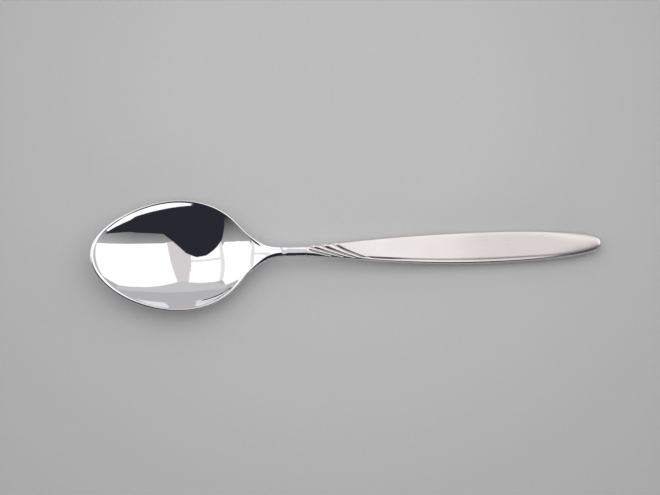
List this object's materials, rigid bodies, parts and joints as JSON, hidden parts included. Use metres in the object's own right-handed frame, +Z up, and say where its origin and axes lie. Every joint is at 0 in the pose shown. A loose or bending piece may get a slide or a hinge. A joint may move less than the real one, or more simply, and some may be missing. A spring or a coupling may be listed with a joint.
{
  "type": "coffee spoon",
  "caption": "Coffee spoon with a polished egg-shaped bowl, a slim neck, a twist of flutes and a plump hollow handle with a satin front, for stirring and sipping.",
  "frame": {"origin": "middle of the spoon's length and width, on the table under it", "axes": "+X along the spoon from the bowl's tip to the handle's end, +Y to the left of someone who looks along +X with the bowl facing up, +Z up out of the bowl's open side"},
  "size_m": [0.1382, 0.0308, 0.0112],
  "materials": {
    "polished_steel": "polished",
    "satin_steel": "satin",
    "back_steel": "polished",
    "solder": "satin",
    "cement": "matte"
  },
  "bodies": {
    "root": {"bowl_with_tang": "polished_steel", "handle_front_shell": "satin_steel", "handle_back_shell": "back_steel", "seam_solder": "solder", "neck_solder": "solder", "tang_cement": "cement"}
  },
  "joints": []
}
